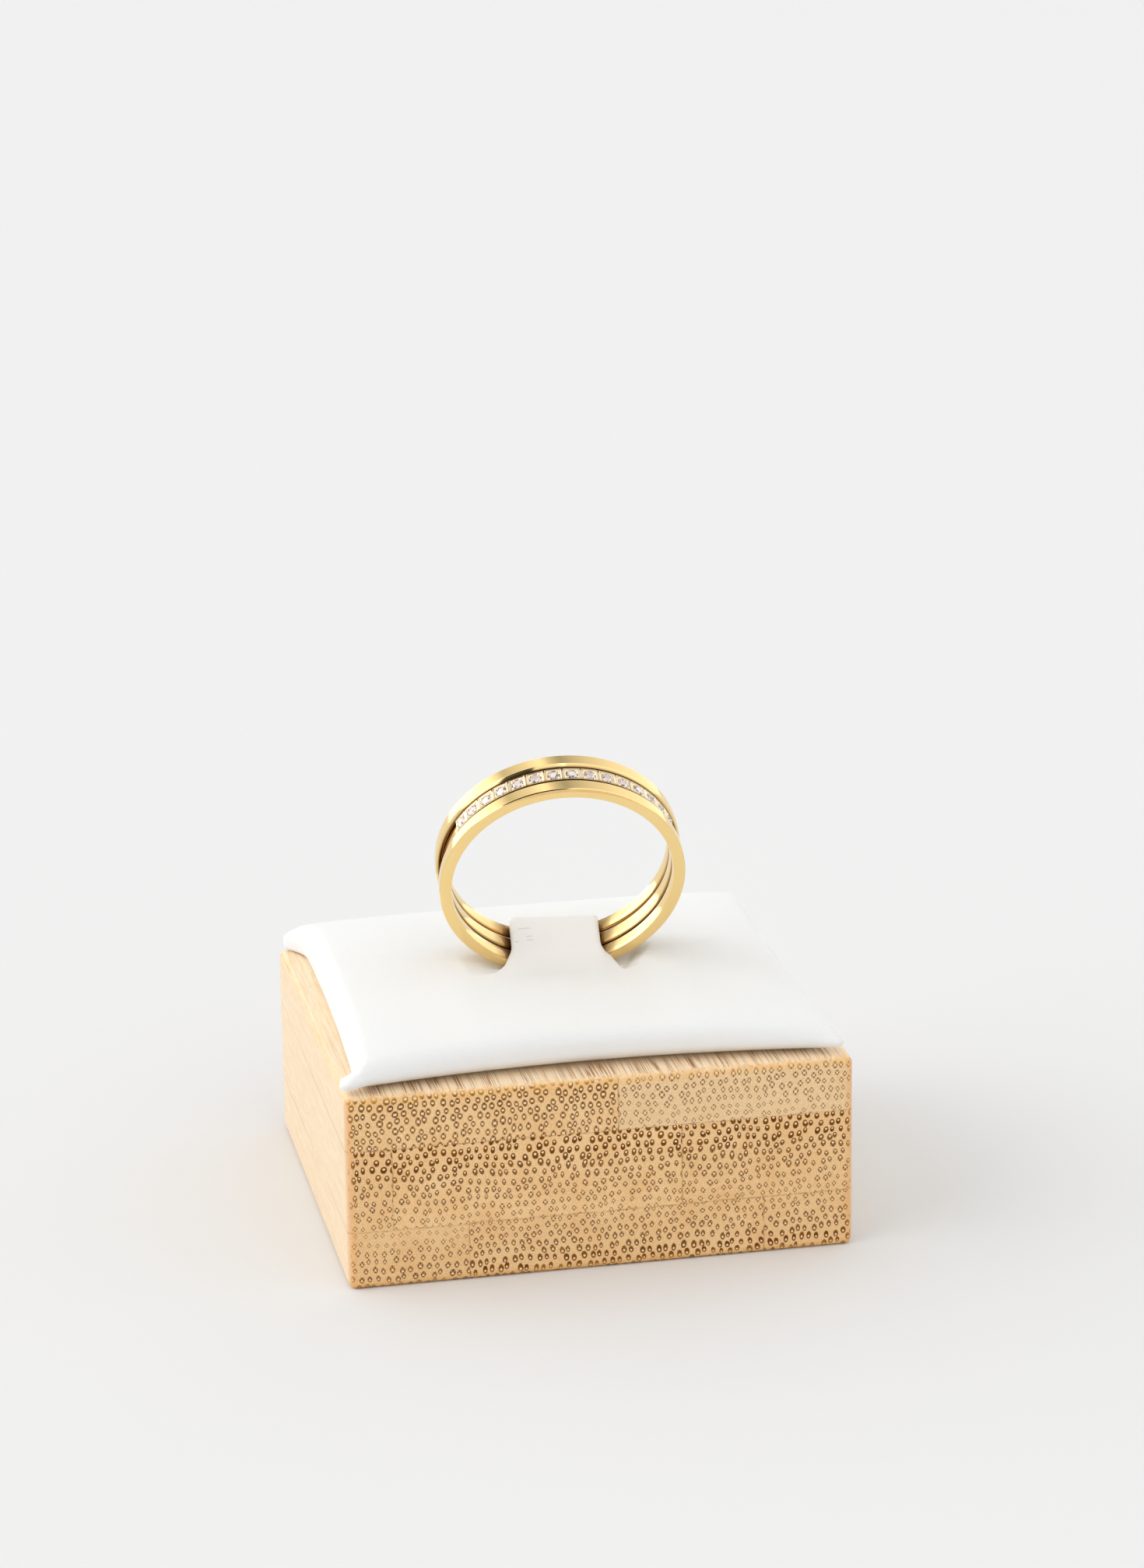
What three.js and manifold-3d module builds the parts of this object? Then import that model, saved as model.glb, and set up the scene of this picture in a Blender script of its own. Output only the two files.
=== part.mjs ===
// A yellow-gold ring of three thin bands, the middle one set with a row of round stones,
// standing in a leatherette pad on a small laminated bamboo block.
// Millimetres, +Z up. The origin is on the underside of the block, at its centre.
// The front of the block faces -Y, and +X is to the right.

import * as THREE from "three";
import { mergeVertices } from "three/addons/utils/BufferGeometryUtils.js";
import { RoundedBoxGeometry } from "three/addons/geometries/RoundedBoxGeometry.js";
import Module from "manifold-3d";

const wasm = await Module();
wasm.setup();

// Bamboo block.
const BLOCK_WIDTH = 39.4;
const BLOCK_DEPTH = 35;
const BLOCK_HEIGHT = 15.5;
const BLOCK_EDGE_RADIUS = 0.6;

// Pad: a pillow whose corners reach nearly to the edges of the block.
const PAD_CORNER_INSET = 0.35;
const PAD_PULL_SIDE = 1.0; // how far the left and right edges are drawn in at mid length
const PAD_PULL_FRONT = 1.8;
const PAD_PULL_BACK = 0.9;
const PAD_CROWN = 3.7; // height of the middle above the block
const PAD_LIFT = 0.9; // height of the lower edge above the block
const PAD_WALL = 1.1; // height of the side wall
const PAD_WALL_BULGE = 0.15;
const PAD_FOOT_INSET = 2.4; // how far in from the edge the underside meets the block
const PAD_FULLNESS = 3.2; // larger makes the top flatter and the edges rounder

// Ring. The bands lie side by side on one axis.
const FINGER_DIAMETER = 17.35;
const BAND_THICKNESS = 0.97;
const PLAIN_BAND_WIDTH = 1.22;
const STONE_BAND_WIDTH = 1.36;
const BAND_GAP = 0.1;
const BAND_CHAMFER = 0.07; // outer corners on the free side of the plain bands
const SEAM_BEVEL_WIDTH = 0.25; // outer corners of the plain bands next to the stone band
const SEAM_BEVEL_DEPTH = 0.2;
const INNER_ROUNDING = 0.08; // how far the inner corners fall back from the finger
const SHANK_THICKNESS = 0.55; // stone band below its head
const HEAD_THICKNESS = 0.8; // stone band where it holds stones
const HEAD_CHAMFER = 0.08;
const HEAD_END_MARGIN = 0.55; // metal past the middle of the last stone
const HEAD_TURN = THREE.MathUtils.degToRad(3.5); // middle stone, to the right of the top

// Stones and their seats.
const STONE_COUNT = 15;
const STONE_DIAMETER = 0.9;
const STONE_SPACING = 1.44; // along the outside of the head
const STONE_GIRDLE = 0.04;
const CROWN_SHARE = 0.15; // crown height as a share of the diameter
const PAVILION_SHARE = 0.42;
const TABLE_SHARE = 0.56;
const STONE_DEPTH = 0.14; // girdle below the outside of the head
const STONE_CLEARANCE = 0.06;
const CUT_SQUARE = 1.1; // side of the bright-cut square round each stone
const CUT_DEPTH = 0.08;

// How the ring stands in the pad.
const RING_LEAN = THREE.MathUtils.degToRad(23.5); // top towards the front
const RING_TURN = THREE.MathUtils.degToRad(-3.8);
const RING_FOOT_HEIGHT = 2.0; // lowest edge above the block
const RING_FOOT_X = 0.1;
const RING_FOOT_Y = 0.9;
const SLOT_CLEARANCE = 0.3;

// Tongue: a padded tab that runs through the ring along the ring's axis.
const TONGUE_WIDTH = 7.1;
const TONGUE_THICKNESS = 0.6;
const TONGUE_OFFSET = -0.19; // to the right of the ring's middle, at the front
const TONGUE_TURN = THREE.MathUtils.degToRad(-3); // from the ring's axis
const TONGUE_OVERHANG = 0.05; // past the back of the ring
const TONGUE_GAP = 0.1; // under the tongue, to the inside of the ring
const TONGUE_TIP_RADIUS = 0.2;
const ROOT_DEPTH = 1.2; // how far the root goes down past the underside of the tongue

// Facets.
const BAND_SIDES = 72;
const STONE_SIDES = 16;
const SEAT_SIDES = 12;
const PAD_CELLS_X = 26;
const PAD_CELLS_Y = 24;
const BLOCK_EDGE_STEPS = 2;

// Sizes that follow from the ones above.
const innerRadius = FINGER_DIAMETER / 2;
const outerRadius = innerRadius + BAND_THICKNESS;
const headRadius = innerRadius + HEAD_THICKNESS;
const shankRadius = innerRadius + SHANK_THICKNESS;
const stoneBandStart = PLAIN_BAND_WIDTH + BAND_GAP;
const stoneBandEnd = stoneBandStart + STONE_BAND_WIDTH;
const rearBandStart = stoneBandEnd + BAND_GAP;
const ringWidth = rearBandStart + PLAIN_BAND_WIDTH;
const stoneLine = (stoneBandStart + stoneBandEnd) / 2;
const stonePitch = STONE_SPACING / headRadius;
const headHalfAngle = ((STONE_COUNT - 1) / 2) * stonePitch + HEAD_END_MARGIN / headRadius;
const girdleRadius = headRadius - STONE_DEPTH;
const ringCentreY = RING_FOOT_Y - outerRadius * Math.sin(RING_LEAN);
const ringCentreZ = BLOCK_HEIGHT + RING_FOOT_HEIGHT + outerRadius * Math.cos(RING_LEAN);
const tongueReachX = TONGUE_WIDTH / 2 + Math.abs(TONGUE_OFFSET);
const tongueUnder = Math.sqrt(innerRadius ** 2 - tongueReachX ** 2) - TONGUE_GAP;
const tongueTop = tongueUnder - TONGUE_THICKNESS;

const materials = {
  gold: new THREE.MeshStandardMaterial({ color: 0xe3b96a, roughness: 0.12, metalness: 1 }),
  stone: new THREE.MeshStandardMaterial({ color: 0xf4f2f4, roughness: 0.05, metalness: 0 }),
  leatherette: new THREE.MeshStandardMaterial({ color: 0xf1f1ee, roughness: 0.55, metalness: 0 }),
  bamboo: new THREE.MeshStandardMaterial({ color: 0xd9ae74, roughness: 0.5, metalness: 0 }),
};

// A closed solid from a geometry, with its shared corners joined.
function toSolid(geometry) {
  const bare = geometry.clone();
  bare.deleteAttribute("normal");
  bare.deleteAttribute("uv");
  const joined = mergeVertices(bare, 1e-5);
  return new wasm.Manifold(new wasm.Mesh({
    numProp: 3,
    vertProperties: new Float32Array(joined.getAttribute("position").array),
    triVerts: new Uint32Array(joined.index.array),
  }));
}

function toGeometry(solid) {
  const mesh = solid.getMesh();
  const geometry = new THREE.BufferGeometry();
  geometry.setAttribute("position", new THREE.BufferAttribute(new Float32Array(mesh.vertProperties), 3));
  geometry.setIndex(new THREE.BufferAttribute(new Uint32Array(mesh.triVerts), 1));
  geometry.computeVertexNormals();
  return geometry;
}

function piece(name, geometry, material) {
  const mesh = new THREE.Mesh(geometry, material);
  mesh.name = name;
  return mesh;
}

// A ring of one section about the Y axis. Each corner is [radius, place along the axis],
// up the outside and down the inside.
function turned(corners, sides = BAND_SIDES) {
  const profile = corners.map(([radius, along]) => new THREE.Vector2(radius, along));
  profile.push(profile[0].clone());
  return new THREE.LatheGeometry(profile, sides);
}

// A band's section. Each outer corner is cut by [width along the axis, depth].
function bandSection(start, end, radius, startCut, endCut) {
  const rounding = (end - start) / 4;
  return [
    [radius - startCut[1], start],
    [radius, start + startCut[0]],
    [radius, end - endCut[0]],
    [radius - endCut[1], end],
    [innerRadius + INNER_ROUNDING, end],
    [innerRadius, end - rounding],
    [innerRadius, start + rounding],
    [innerRadius + INNER_ROUNDING, start],
  ];
}

// The two plain bands mirror each other: each slopes down towards the stone band.
function plainBand(start) {
  const free = [BAND_CHAMFER, BAND_CHAMFER];
  const seam = [SEAM_BEVEL_WIDTH, SEAM_BEVEL_DEPTH];
  const cuts = start < stoneBandStart ? [free, seam] : [seam, free];
  return turned(bandSection(start, start + PLAIN_BAND_WIDTH, outerRadius, ...cuts));
}

// The stone band's section, the same on both sides.
function stoneSection(radius, chamfer) {
  const cut = [chamfer, chamfer];
  return bandSection(stoneBandStart, stoneBandEnd, radius, cut, cut);
}

// A slab that holds the part of the ring within an angle of the middle stone.
function headSector(halfAngle) {
  const reach = outerRadius * 3;
  const outline = new THREE.Shape();
  outline.moveTo(0, 0);
  outline.lineTo(reach * Math.sin(halfAngle), reach * Math.cos(halfAngle));
  outline.lineTo(reach, reach);
  outline.lineTo(-reach, reach);
  outline.lineTo(-reach * Math.sin(halfAngle), reach * Math.cos(halfAngle));
  outline.closePath();
  const slab = new THREE.ExtrudeGeometry(outline, { depth: ringWidth, bevelEnabled: false });
  slab.rotateX(Math.PI / 2);
  slab.rotateY(HEAD_TURN);
  slab.translate(0, ringWidth, 0);
  return slab;
}

// The angle of a stone from the top of the ring.
function stoneAngle(index) {
  return HEAD_TURN + (index - (STONE_COUNT - 1) / 2) * stonePitch;
}

// Puts what was made along +Z out from the ring's axis at the angle of one stone.
function atStone(geometry, index, radius) {
  const angle = stoneAngle(index);
  const placed = geometry.clone();
  placed.rotateY(angle);
  placed.translate(radius * Math.sin(angle), stoneLine, radius * Math.cos(angle));
  return placed;
}

function seatCutter() {
  const radius = STONE_DIAMETER / 2 + STONE_CLEARANCE;
  const depth = STONE_DIAMETER * PAVILION_SHARE + STONE_CLEARANCE;
  const lift = STONE_DEPTH + CUT_DEPTH;
  const ledge = -STONE_GIRDLE / 2 - STONE_CLEARANCE / 2;
  const profile = [
    new THREE.Vector2(0, -depth),
    new THREE.Vector2(radius, ledge),
    new THREE.Vector2(radius, lift),
    new THREE.Vector2(0, lift),
  ];
  return new THREE.LatheGeometry(profile, SEAT_SIDES).rotateX(Math.PI / 2);
}

// A shallow square with sloping walls, cut into the head round one stone.
function squareCutter() {
  const height = CUT_DEPTH * 2;
  const half = CUT_SQUARE / Math.SQRT2;
  const cutter = new THREE.CylinderGeometry(half + CUT_DEPTH, half - CUT_DEPTH, height, 4);
  cutter.rotateY(Math.PI / 4);
  cutter.rotateX(Math.PI / 2);
  return cutter;
}

function stoneBand() {
  const shank = toSolid(turned(stoneSection(shankRadius, HEAD_CHAMFER)));
  const whole = toSolid(turned(stoneSection(headRadius, HEAD_CHAMFER)));
  const head = whole.intersect(toSolid(headSector(headHalfAngle)));
  let band = shank.add(head);
  for (let index = 0; index < STONE_COUNT; index += 1) {
    band = band.subtract(toSolid(atStone(squareCutter(), index, headRadius)));
    band = band.subtract(toSolid(atStone(seatCutter(), index, girdleRadius)));
  }
  return toGeometry(band);
}

// A round cut stone with an eight-sided table, its girdle about the XY plane, table up.
function cutStone() {
  const radius = STONE_DIAMETER / 2;
  const positions = [];
  const triangles = [];
  const addCircle = (count, circleRadius, z) => {
    const first = positions.length / 3;
    for (let k = 0; k < count; k += 1) {
      const angle = (k / count) * 2 * Math.PI;
      positions.push(circleRadius * Math.cos(angle), circleRadius * Math.sin(angle), z);
    }
    return first;
  };
  const half = STONE_SIDES / 2;
  const table = addCircle(half, radius * TABLE_SHARE, STONE_GIRDLE / 2 + STONE_DIAMETER * CROWN_SHARE);
  const upper = addCircle(STONE_SIDES, radius, STONE_GIRDLE / 2);
  const lower = addCircle(STONE_SIDES, radius, -STONE_GIRDLE / 2);
  const culet = positions.length / 3;
  positions.push(0, 0, -STONE_DIAMETER * PAVILION_SHARE);
  for (let k = 1; k < half - 1; k += 1) {
    triangles.push(table, table + k, table + k + 1);
  }
  for (let k = 0; k < half; k += 1) {
    const before = upper + ((2 * k + STONE_SIDES - 1) % STONE_SIDES);
    const at = upper + 2 * k;
    const after = at + 1;
    triangles.push(table + k, before, at);
    triangles.push(table + k, at, after);
    triangles.push(table + k, after, table + ((k + 1) % half));
  }
  for (let k = 0; k < STONE_SIDES; k += 1) {
    const next = (k + 1) % STONE_SIDES;
    triangles.push(upper + k, lower + k, lower + next);
    triangles.push(upper + k, lower + next, upper + next);
    triangles.push(lower + k, culet, lower + next);
  }
  const geometry = new THREE.BufferGeometry();
  geometry.setAttribute("position", new THREE.Float32BufferAttribute(positions, 3));
  geometry.setIndex(triangles);
  geometry.computeVertexNormals();
  return geometry;
}

// Where the tongue's upper face comes out of the pad, along the ring's axis.
function tongueStart() {
  const padTop = BLOCK_HEIGHT + PAD_CROWN;
  return (padTop - ringCentreZ + tongueTop * Math.cos(RING_LEAN)) / Math.sin(RING_LEAN);
}

// The tongue from the side: a blade through the ring and a root in front of it.
// grow makes it larger all round, for the pocket in the pad.
function tongue(grow = 0) {
  const start = tongueStart() - grow;
  const tip = ringWidth + TONGUE_OVERHANG + grow;
  const heel = grow - SLOT_CLEARANCE;
  const top = -tongueTop + grow;
  const under = -tongueUnder - grow;
  const foot = -tongueUnder - ROOT_DEPTH - grow;
  const round = TONGUE_TIP_RADIUS;
  const side = new THREE.Shape();
  side.moveTo(start, foot);
  side.lineTo(heel, foot);
  side.lineTo(heel, under);
  side.lineTo(tip - round, under);
  side.quadraticCurveTo(tip, under, tip, under + round);
  side.lineTo(tip, top - round);
  side.quadraticCurveTo(tip, top, tip - round, top);
  side.lineTo(start, top);
  side.closePath();
  const width = TONGUE_WIDTH + 2 * grow;
  const blade = new THREE.ExtrudeGeometry(side, { depth: width, bevelEnabled: false, curveSegments: 4 });
  blade.translate(0, 0, TONGUE_OFFSET - width / 2);
  const alongAxis = new THREE.Vector3(0, 1, 0);
  const up = new THREE.Vector3(0, 0, 1);
  const across = new THREE.Vector3(1, 0, 0);
  blade.applyMatrix4(new THREE.Matrix4().makeBasis(alongAxis, up, across));
  return blade.rotateZ(TONGUE_TURN);
}

// The ring's own frame: the axis is +Y, from the front of the front band.
function ringFrame() {
  const frame = new THREE.Group();
  frame.position.set(RING_FOOT_X, ringCentreY, ringCentreZ);
  frame.rotation.set(RING_LEAN, 0, RING_TURN, "ZYX");
  frame.updateMatrix();
  return frame;
}

// Falls from 1 in the middle of the pad to 0 at its edge, steeply at the edge.
function padSwell(share) {
  return Math.sqrt(Math.max(0, 1 - Math.abs(share) ** PAD_FULLNESS));
}

// Rises from 0 where the pad rests on the block to 1 at its edge.
function padTuck(share, halfSize) {
  const inset = PAD_FOOT_INSET / halfSize;
  const along = Math.max(0, (Math.abs(share) - 1 + inset) / inset);
  return Math.min(1, along ** 2);
}

// A place on the pad from shares of -1 to 1 across and along it, on its top or its underside.
function padPoint(across, along, top) {
  const halfWidth = BLOCK_WIDTH / 2 - PAD_CORNER_INSET;
  const halfDepth = BLOCK_DEPTH / 2 - PAD_CORNER_INSET;
  const pullAlong = along < 0 ? PAD_PULL_FRONT : PAD_PULL_BACK;
  const x = across * (halfWidth - PAD_PULL_SIDE * (1 - along ** 2));
  const y = along * (halfDepth - pullAlong * (1 - across ** 2));
  const wallTop = PAD_LIFT + PAD_WALL;
  const swell = padSwell(across) * padSwell(along);
  const tuck = Math.max(padTuck(across, halfWidth), padTuck(along, halfDepth));
  const rise = top ? wallTop + (PAD_CROWN - wallTop) * swell : PAD_LIFT * tuck;
  return [x, y, BLOCK_HEIGHT + rise];
}

// The grid corners round the edge of a skin, counterclockwise from above.
function rimCells() {
  const rim = [];
  for (let i = 0; i < PAD_CELLS_X; i += 1) rim.push([i, 0]);
  for (let j = 0; j < PAD_CELLS_Y; j += 1) rim.push([PAD_CELLS_X, j]);
  for (let i = PAD_CELLS_X; i > 0; i -= 1) rim.push([i, PAD_CELLS_Y]);
  for (let j = PAD_CELLS_Y; j > 0; j -= 1) rim.push([0, j]);
  return rim;
}

// Top and underside as grids, closer together near the edges, with a bulging wall between.
function pillow() {
  const positions = [];
  const triangles = [];
  const row = PAD_CELLS_X + 1;
  const skin = row * (PAD_CELLS_Y + 1);
  const share = (index, cells) => Math.sin((index / cells - 0.5) * Math.PI);
  for (const top of [true, false]) {
    for (let j = 0; j <= PAD_CELLS_Y; j += 1) {
      for (let i = 0; i <= PAD_CELLS_X; i += 1) {
        positions.push(...padPoint(share(i, PAD_CELLS_X), share(j, PAD_CELLS_Y), top));
      }
    }
  }
  for (let j = 0; j < PAD_CELLS_Y; j += 1) {
    for (let i = 0; i < PAD_CELLS_X; i += 1) {
      const a = j * row + i;
      const b = a + 1;
      const c = b + row;
      const d = a + row;
      triangles.push(a, b, c, a, c, d);
      triangles.push(skin + a, skin + c, skin + b, skin + a, skin + d, skin + c);
    }
  }
  const rim = rimCells();
  const belt = positions.length / 3;
  for (const [i, j] of rim) {
    const [x, y, low] = padPoint(share(i, PAD_CELLS_X), share(j, PAD_CELLS_Y), false);
    const out = 1 + PAD_WALL_BULGE / Math.hypot(x, y);
    positions.push(x * out, y * out, low + PAD_WALL / 2);
  }
  for (let k = 0; k < rim.length; k += 1) {
    const next = (k + 1) % rim.length;
    const upper = rim[k][1] * row + rim[k][0];
    const upperNext = rim[next][1] * row + rim[next][0];
    triangles.push(belt + k, belt + next, upperNext, belt + k, upperNext, upper);
    triangles.push(skin + upper, skin + upperNext, belt + next, skin + upper, belt + next, belt + k);
  }
  const geometry = new THREE.BufferGeometry();
  geometry.setAttribute("position", new THREE.Float32BufferAttribute(positions, 3));
  geometry.setIndex(triangles);
  return geometry;
}

// The pad, with a slot that follows the bottom of the ring and a pocket for the tongue.
function cushionPad() {
  const toPad = ringFrame().matrix;
  const slot = turned([
    [outerRadius + SLOT_CLEARANCE, -SLOT_CLEARANCE],
    [outerRadius + SLOT_CLEARANCE, ringWidth + SLOT_CLEARANCE],
    [tongueTop, ringWidth + SLOT_CLEARANCE],
    [tongueTop, -SLOT_CLEARANCE],
  ]);
  slot.applyMatrix4(toPad);
  const pocket = tongue(SLOT_CLEARANCE).applyMatrix4(toPad);
  return toGeometry(toSolid(pillow()).subtract(toSolid(slot)).subtract(toSolid(pocket)));
}

function bambooBlock() {
  const block = new RoundedBoxGeometry(
    BLOCK_WIDTH, BLOCK_DEPTH, BLOCK_HEIGHT, BLOCK_EDGE_STEPS, BLOCK_EDGE_RADIUS);
  block.translate(0, 0, BLOCK_HEIGHT / 2);
  return toGeometry(toSolid(block));
}

// Ring and tongue, placed together because the tongue runs along the ring's axis.
function ringAndTongue() {
  const frame = ringFrame();
  frame.add(piece("front_band", plainBand(0), materials.gold));
  frame.add(piece("stone_band", stoneBand(), materials.gold));
  frame.add(piece("rear_band", plainBand(rearBandStart), materials.gold));
  for (let index = 0; index < STONE_COUNT; index += 1) {
    const angle = stoneAngle(index);
    const name = `stone_${String(index + 1).padStart(2, "0")}`;
    const stone = piece(name, cutStone(), materials.stone);
    stone.position.set(girdleRadius * Math.sin(angle), stoneLine, girdleRadius * Math.cos(angle));
    stone.rotation.y = angle;
    frame.add(stone);
  }
  frame.add(piece("clip_tongue", tongue(), materials.leatherette));
  return frame;
}

const model = new THREE.Group();
model.add(piece("bamboo_block", bambooBlock(), materials.bamboo));
model.add(piece("cushion_pad", cushionPad(), materials.leatherette));
model.add(ringAndTongue());

export default model;
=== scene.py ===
import math
import random

import bmesh
import bpy
import numpy as np
from mathutils import Matrix, Vector


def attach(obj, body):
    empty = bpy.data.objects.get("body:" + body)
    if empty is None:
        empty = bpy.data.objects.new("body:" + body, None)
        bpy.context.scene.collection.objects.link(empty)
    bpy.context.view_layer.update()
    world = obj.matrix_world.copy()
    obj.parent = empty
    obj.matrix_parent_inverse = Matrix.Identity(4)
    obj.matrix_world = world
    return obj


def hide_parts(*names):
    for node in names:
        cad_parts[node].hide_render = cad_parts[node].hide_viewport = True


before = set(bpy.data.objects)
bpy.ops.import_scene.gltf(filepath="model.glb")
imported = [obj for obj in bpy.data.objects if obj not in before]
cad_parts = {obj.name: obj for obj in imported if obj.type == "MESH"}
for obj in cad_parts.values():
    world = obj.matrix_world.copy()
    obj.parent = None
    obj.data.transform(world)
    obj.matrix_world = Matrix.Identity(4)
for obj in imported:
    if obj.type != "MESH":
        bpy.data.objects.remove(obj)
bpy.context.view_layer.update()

MM = 0.001

# Sizes in millimetres, as in the CAD model.
BLOCK = np.array([39.4, 35.0, 15.5])
BLOCK_RADIUS = 0.6
INNER = 8.675
OUTER = INNER + 0.97
PLAIN = 1.22
STONE_BAND = 1.36
GAP = 0.1
STONE_START = PLAIN + GAP
REAR_START = STONE_START + STONE_BAND + GAP
RING_WIDTH = REAR_START + PLAIN
STONE_LINE = STONE_START + STONE_BAND / 2
HEAD_RADIUS = INNER + 0.8
SHANK_RADIUS = INNER + 0.55
HEAD_TURN = math.radians(3.5)
SEAM_BEVEL = (0.25, 0.2)
STONES = 15
STONE_SIZE = 0.84
STONE_SUNK = 0.13
PITCH = 1.44 / HEAD_RADIUS
HEAD_HALF = (STONES - 1) / 2 * PITCH + 0.55 / HEAD_RADIUS
LEAN = math.radians(23.5)
TURN = math.radians(-3.8)
RING_FOOT = (0.1, 0.9, 2.0)
SLOT_GAP = 0.3
RING_GAP = 0.08

# The head's relief: a square cut round each stone, the stone's round seat, a groove between one
# stone and the next, and a bead in each corner of the square.
CUT_HALF = 0.6
SEAT_RADIUS = 0.48
GROOVE_HALF = 0.045
GROOVE_DEPTH = 0.12
BEAD_OFF = 0.39
BEAD_RADIUS = 0.1
BEAD_SUNK = 0.065

# The tongue's plate in its own turned frame: its middle, half its size and the radius of its edges.
TONGUE_TURN = math.radians(-3)
TONGUE_MIDDLE = np.array([-0.19, 0.55, -7.46])
TONGUE_HALF = np.array([3.55, 3.6, 0.32])
TONGUE_EDGE = 0.26

# Fine creases on the tongue, in the ring's frame: middle across and along, and half the length.
CREASES = ((-2.5, 2.71, 0.45), (-2.2, 1.77, 0.24), (-2.2, 1.32, 0.28), (-3.25, 1.23, 0.16))

# The pad: half its width and depth, its height at the rim and how much the middle swells above that,
# how high its underside is at the edge and how far in from the edge it meets the block.
PAD_HALF = (19.4, 17.3)
PAD_RIM = 2.05
PAD_SWELL = 1.65
PAD_LIFT = 0.9
PAD_FOOT = 2.4

# Pad corners: place, how far they reach out, and how wide that is.
PAD_CORNERS = (
    (-19.5, -16.5, 1.4, 0.7),
    (18.6, -17.3, 0.3, 0.9),
    (-19.2, 16.9, 0.5, 1.2),
    (19.3, 17.2, -1.0, 1.6),
)

# Slits beside the tongue, from above: corners in order round each, how many of the sides
# from the first corner on are steep, how deep it gets and how far the gentle side reaches.
SLITS = (
    (((-3.3, 0.9), (-4.2, -1.1), (-5.1, -2.4), (-6.1, -2.9), (-7.2, -2.3), (-7.4, 0.6)), 3, 0.7, 2.6),
    (((4.0, 1.4), (4.3, -1.3), (4.6, -3.9), (5.3, -3.8), (6.1, -2.9), (7.6, 0.6)), 3, 0.9, 1.4),
)

# The bamboo, from its top layer down: heights of the glue between layers, and where the strips of
# each layer meet. Then the spacing of the fibre bundles, and half the width of a glue line.
GLUE_HEIGHTS = (11.2, 4.65)
STRIP_ENDS = ((1.3,), (-16.2, 6.2), (-10.4, 12.6))
BUNDLE_STEP = (0.67, 0.66)
GLUE_HALF = 0.035

RING_AXES = np.array(Matrix.Rotation(TURN, 3, "Z") @ Matrix.Rotation(LEAN, 3, "X"))
RING_CENTRE = np.array([
    RING_FOOT[0],
    RING_FOOT[1] - OUTER * math.sin(LEAN),
    BLOCK[2] + RING_FOOT[2] + OUTER * math.cos(LEAN),
])


def to_world(points):
    """Points in the ring's frame, in the object's frame."""
    return points @ RING_AXES.T + RING_CENTRE


def to_ring(points):
    return (points - RING_CENTRE) @ RING_AXES


# Meshes

def piece(name, points, faces, nodes, sharp=None):
    """A mesh from points in millimetres. It rides on the body and replaces CAD nodes."""
    mesh = bpy.data.meshes.new(name)
    faces = faces if isinstance(faces, list) else faces.tolist()
    mesh.from_pydata((points * MM).tolist(), [], faces)
    mesh.validate()
    shell = bmesh.new()
    shell.from_mesh(mesh)
    bmesh.ops.remove_doubles(shell, verts=shell.verts, dist=1e-7)
    bmesh.ops.recalc_face_normals(shell, faces=shell.faces)
    shell.to_mesh(mesh)
    shell.free()
    if sharp is None:
        mesh.shade_flat()
    else:
        mesh.shade_smooth()
        mesh.set_sharp_from_angle(angle=math.radians(sharp))
    made = bpy.data.objects.new(name, mesh)
    bpy.context.collection.objects.link(made)
    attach(made, "root")
    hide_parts(*nodes)
    return made


def rounded(corners, steps=5):
    """A closed outline from corners (across, along, radius), with each corner an arc."""
    outline = []
    count = len(corners)
    for i, (a, b, radius) in enumerate(corners):
        here = np.array([a, b])
        before = np.array(corners[i - 1][:2]) - here
        after = np.array(corners[(i + 1) % count][:2]) - here
        before = before / np.linalg.norm(before)
        after = after / np.linalg.norm(after)
        half = math.acos(float(np.clip(before @ after, -1, 1))) / 2
        reach = radius / math.tan(half)
        centre = here + (before + after) / np.linalg.norm(before + after) * radius / math.sin(half)
        start = here + before * reach - centre
        end = here + after * reach - centre
        sweep = math.pi - 2 * half
        for t in np.linspace(0, 1, steps):
            arc = start * math.sin((1 - t) * sweep) + end * math.sin(t * sweep)
            arc = arc / np.linalg.norm(arc) * radius
            outline.append(centre + arc)
    return np.array(outline)


def loop_faces(rows, columns):
    """Quads of a grid that closes on itself both ways."""
    i, j = np.meshgrid(np.arange(rows), np.arange(columns), indexing="ij")
    a = i * columns + j
    b = i * columns + (j + 1) % columns
    c = (i + 1) % rows * columns + (j + 1) % columns
    d = (i + 1) % rows * columns + j
    return np.stack([a, b, c, d], -1).reshape(-1, 4)


def plain_band(name, free, seam, node):
    """A plain band between its free side and the side next to the stone band."""
    way = 1 if seam > free else -1
    chamfer, wide, deep = 0.08, *SEAM_BEVEL
    profile = rounded([
        (OUTER - chamfer, free, 0.03),
        (OUTER, free + way * chamfer, 0.03),
        (OUTER, seam - way * wide, 0.05),
        (OUTER - deep, seam, 0.04),
        (INNER + 0.15, seam, 0.05),
        (INNER + 0.05, seam - way * 0.2, 0.3),
        (INNER, seam - way * 0.55, 0.9),
        (INNER, free + way * 0.35, 0.7),
        (INNER + 0.05, free, 0.03),
    ])
    angles = np.linspace(0, 2 * math.pi, 480, endpoint=False)
    points = np.stack([
        np.outer(np.sin(angles), profile[:, 0]),
        np.broadcast_to(profile[:, 1], (len(angles), len(profile))),
        np.outer(np.cos(angles), profile[:, 0]),
    ], -1).reshape(-1, 3)
    faces = loop_faces(len(angles), len(profile))
    return piece(name, to_world(points), faces, [node], sharp=35)


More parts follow.
